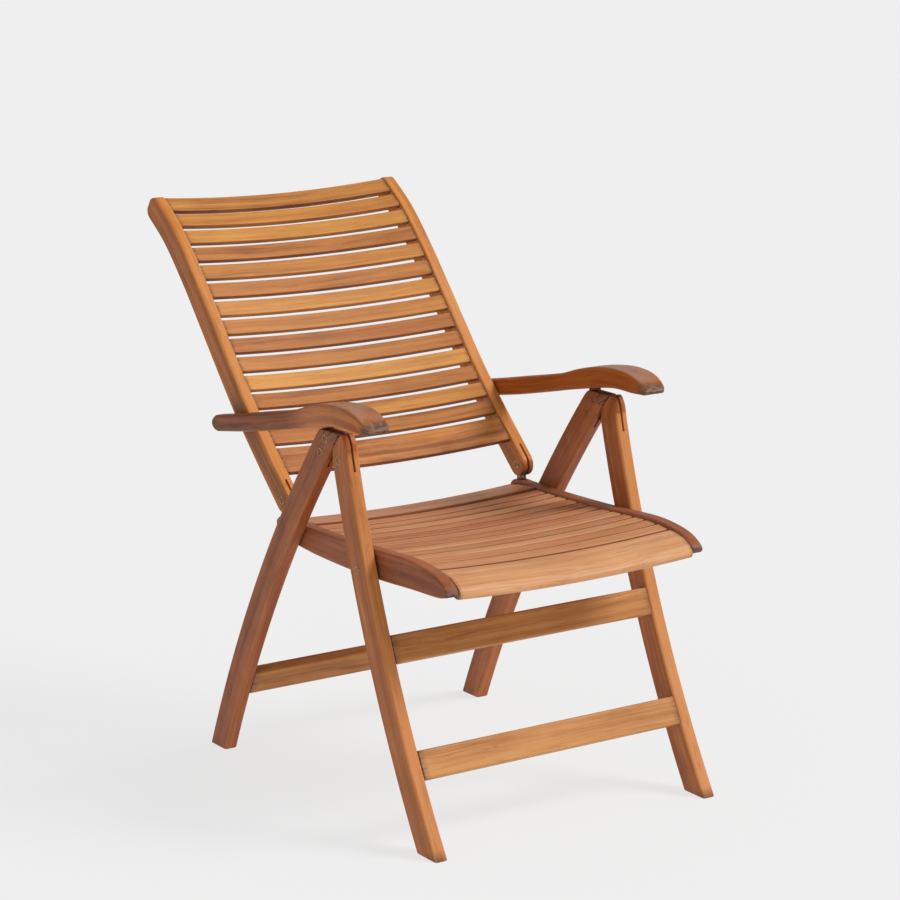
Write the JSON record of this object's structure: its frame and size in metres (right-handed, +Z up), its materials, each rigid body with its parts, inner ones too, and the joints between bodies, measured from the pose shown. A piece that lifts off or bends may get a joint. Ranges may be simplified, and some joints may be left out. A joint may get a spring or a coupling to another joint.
{
  "type": "folding chair",
  "caption": "Folding wooden armchair with curved legs, slatted seat, reclining slatted back and armrests that notch over hinge pins.",
  "frame": {"origin": "on the floor, midway between the two sides and midway between the front-most and rear-most points at rest", "axes": "+X to the sitter's left, +Y to the rear, +Z up; the sitter faces -Y"},
  "size_m": [0.573, 0.9355, 0.9097],
  "materials": {
    "front_leg_wood": "oiled hardwood, satin, warm orange brown",
    "rear_leg_wood": "oiled hardwood, satin, reddish brown",
    "crossbar_wood": "oiled hardwood, satin, golden tan",
    "seat_rail_wood": "oiled hardwood, satin, maroon brown",
    "seat_slat_wood": "oiled hardwood, satin, pinkish tan",
    "back_stile_wood": "oiled hardwood, satin, orange brown",
    "back_slat_wood": "oiled hardwood, satin, golden orange with tone changes from slat to slat",
    "armrest_wood": "oiled hardwood, satin, orange brown with a weathered tip",
    "brass_fastener": "aged brass with a dark recessed eye",
    "bronze_plate": "dark aged brass plate"
  },
  "bodies": {
    "rear_frame": {"rear_leg_right": "rear_leg_wood", "leg_hinge_plate_right": "bronze_plate", "leg_plate_rivet_upper_right": "brass_fastener", "leg_plate_rivet_lower_right": "brass_fastener", "armrest_notch_pin_right": "bronze_plate", "rear_leg_left": "rear_leg_wood", "leg_hinge_plate_left": "bronze_plate", "leg_plate_rivet_upper_left": "brass_fastener", "leg_plate_rivet_lower_left": "brass_fastener", "armrest_notch_pin_left": "bronze_plate", "rear_crossbar": "crossbar_wood"},
    "front_frame": {"front_leg_right": "front_leg_wood", "leg_pivot_rivet_right": "brass_fastener", "seat_pivot_bolt_right": "brass_fastener", "front_leg_left": "front_leg_wood", "leg_pivot_rivet_left": "brass_fastener", "seat_pivot_bolt_left": "brass_fastener", "front_upper_crossbar": "crossbar_wood", "front_lower_crossbar": "crossbar_wood"},
    "seat": {"seat_rail_right": "seat_rail_wood", "back_hinge_plate_right": "bronze_plate", "seat_rail_left": "seat_rail_wood", "back_hinge_plate_left": "bronze_plate", "seat_slat_01": "seat_slat_wood", "seat_slat_02": "seat_slat_wood", "seat_slat_03": "seat_slat_wood", "seat_slat_04": "seat_slat_wood", "seat_slat_05": "seat_slat_wood", "seat_slat_06": "seat_slat_wood", "seat_slat_07": "seat_slat_wood", "seat_slat_08": "seat_slat_wood", "seat_slat_09": "seat_slat_wood", "seat_slat_10": "seat_slat_wood", "seat_slat_11": "seat_slat_wood", "seat_slat_12": "seat_slat_wood", "seat_slat_13": "seat_slat_wood", "seat_nosing": "seat_slat_wood"},
    "back_rivets": {"back_pivot_rivet_right": "brass_fastener", "back_pivot_rivet_left": "brass_fastener"},
    "back": {"back_stile_right": "back_stile_wood", "back_stile_left": "back_stile_wood", "back_slat_01": "back_slat_wood", "back_slat_02": "back_slat_wood", "back_slat_03": "back_slat_wood", "back_slat_04": "back_slat_wood", "back_slat_05": "back_slat_wood", "back_slat_06": "back_slat_wood", "back_slat_07": "back_slat_wood", "back_slat_08": "back_slat_wood", "back_slat_09": "back_slat_wood", "back_slat_10": "back_slat_wood", "back_slat_11": "back_slat_wood", "back_slat_12": "back_slat_wood", "back_slat_13": "back_slat_wood", "back_slat_14": "back_slat_wood", "back_slat_15": "back_slat_wood"},
    "armrest_pins": {"armrest_pivot_pin_right": "bronze_plate", "armrest_pivot_pin_left": "bronze_plate"},
    "armrest_right": {"armrest_right": "armrest_wood"},
    "armrest_left": {"armrest_left": "armrest_wood"}
  },
  "joints": [
    {"name": "leg_fold", "type": "hinge", "parent": "rear_frame", "child": "front_frame", "pos_m": [0, -0.1988, 0.575], "axis": [1, 0, 0], "range_deg": [0, 52]},
    {"name": "seat_fold", "type": "hinge", "parent": "front_frame", "child": "seat", "pos_m": [0, -0.2498, 0.412], "axis": [1, 0, 0], "range_deg": [-98.2, 0]},
    {"name": "back_fold", "type": "hinge", "parent": "seat", "child": "back_rivets", "pos_m": [0, 0.0247, 0.4635], "axis": [1, 0, 0], "range_deg": [0, 86.2]},
    {"name": "recline", "type": "hinge", "parent": "back_rivets", "child": "back", "pos_m": [0, 0.0247, 0.4635], "axis": [1, 0, 0], "range_deg": [0, 28]},
    {"name": "armrest_fold", "type": "hinge", "parent": "back", "child": "armrest_pins", "pos_m": [0, 0.1422, 0.578], "axis": [1, 0, 0], "range_deg": [-88.8, 0]},
    {"name": "armrest_tilt_right", "type": "hinge", "parent": "armrest_pins", "child": "armrest_right", "pos_m": [0, 0.1422, 0.578], "axis": [1, 0, 0], "range_deg": [-20.7, 0]},
    {"name": "armrest_tilt_left", "type": "hinge", "parent": "armrest_pins", "child": "armrest_left", "pos_m": [0, 0.1422, 0.578], "axis": [1, 0, 0], "range_deg": [-20.7, 0]}
  ],
  "couplings": [
    {"joint": "seat_fold", "follows": "leg_fold", "ratio": -1.8846},
    {"joint": "back_fold", "follows": "leg_fold", "ratio": 1.6538},
    {"joint": "armrest_fold", "follows": "leg_fold", "ratio": -1.7046},
    {"joint": "armrest_tilt_right", "follows": "recline", "ratio": -0.7334},
    {"joint": "armrest_tilt_left", "follows": "recline", "ratio": -0.7334}
  ]
}
